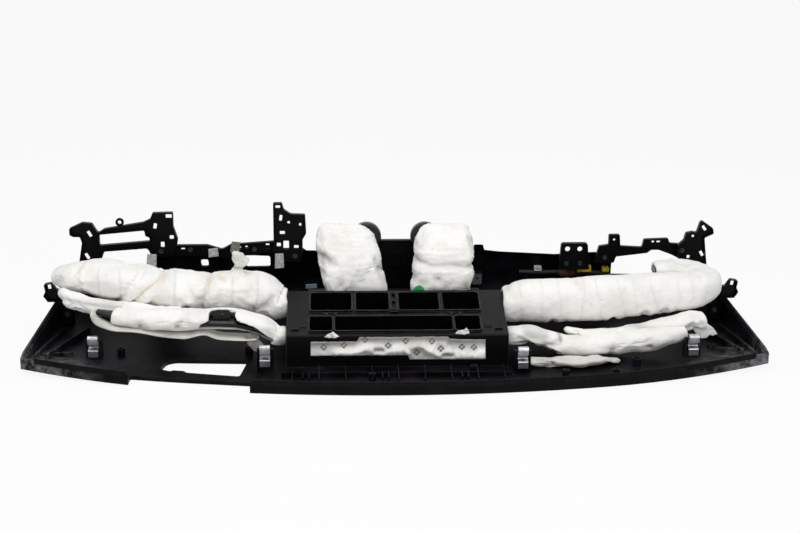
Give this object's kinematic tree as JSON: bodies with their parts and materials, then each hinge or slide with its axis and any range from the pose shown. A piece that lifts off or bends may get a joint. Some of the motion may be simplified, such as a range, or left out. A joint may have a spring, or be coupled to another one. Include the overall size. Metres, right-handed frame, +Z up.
{
  "type": "car dashboard assembly",
  "caption": "Upper dashboard moulding of a large vehicle, lying on its padded top, with its carrier, air manifold, fleece-wrapped ducts and moulded brackets.",
  "frame": {"origin": "middle of the bounding box in plan, on the surface that the pad lies on", "axes": "+X across the vehicle from the driver's side to the passenger's side, -Y to the windshield, +Y to the cabin, +Z up as it lies, which is down in the vehicle"},
  "size_m": [1.49, 0.58, 0.261],
  "materials": {
    "pad_skin": "grained soft skin, matte",
    "black_moulding": "moulded, satin, scuffed at its edges",
    "manifold_moulding": "blow-moulded, satin, worn edges",
    "bracket_moulding": "moulded, satin",
    "duct_plastic": "blow-moulded, satin",
    "trim_foam": "soft foam bead, matte",
    "white_fleece": "needled polyester fleece, soft, welded in places",
    "felt": "needled felt",
    "screw_steel": "zinc coated",
    "clip_steel": "bare spring steel, a little dull",
    "green_plastic": "moulded",
    "loom_sleeve": "ribbed sleeving",
    "cloth_tape": "woven tape",
    "yellow_plastic": "moulded",
    "pale_plastic": "moulded"
  },
  "bodies": {
    "root": {"top_pad": "pad_skin", "carrier": "black_moulding", "windshield_trim_left": "trim_foam", "windshield_trim_right": "trim_foam", "air_manifold": "manifold_moulding", "insulation_strip": "white_fleece", "driver_side_sleeve": "white_fleece", "driver_side_duct": "duct_plastic", "driver_demister_sleeve": "white_fleece", "driver_demister_duct": "duct_plastic", "passenger_side_sleeve": "white_fleece", "passenger_side_duct": "duct_plastic", "passenger_demister_sleeve": "white_fleece", "passenger_demister_duct": "duct_plastic", "centre_left_sleeve": "white_fleece", "centre_left_duct": "duct_plastic", "centre_right_sleeve": "white_fleece", "centre_right_duct": "duct_plastic", "driver_fleece_band": "white_fleece", "passenger_fleece_band": "white_fleece", "passenger_fleece_flap": "white_fleece", "passenger_fleece_corner": "white_fleece", "driver_fleece_edge": "white_fleece", "driver_frame": "bracket_moulding", "cluster_rail": "bracket_moulding", "column_bracket": "bracket_moulding", "centre_panel": "bracket_moulding", "glovebox_bracket": "bracket_moulding", "passenger_rail": "bracket_moulding", "passenger_end_bracket": "bracket_moulding", "end_bracket_left": "bracket_moulding", "end_bracket_right": "bracket_moulding", "bracket_screws": "screw_steel", "pad_clips": "clip_steel", "felt_tags": "felt", "steel_clip": "clip_steel", "green_clip": "green_plastic", "wire_harness": "loom_sleeve", "harness_tape": "cloth_tape", "yellow_plugs": "yellow_plastic", "white_plug": "pale_plastic"}
  },
  "joints": []
}
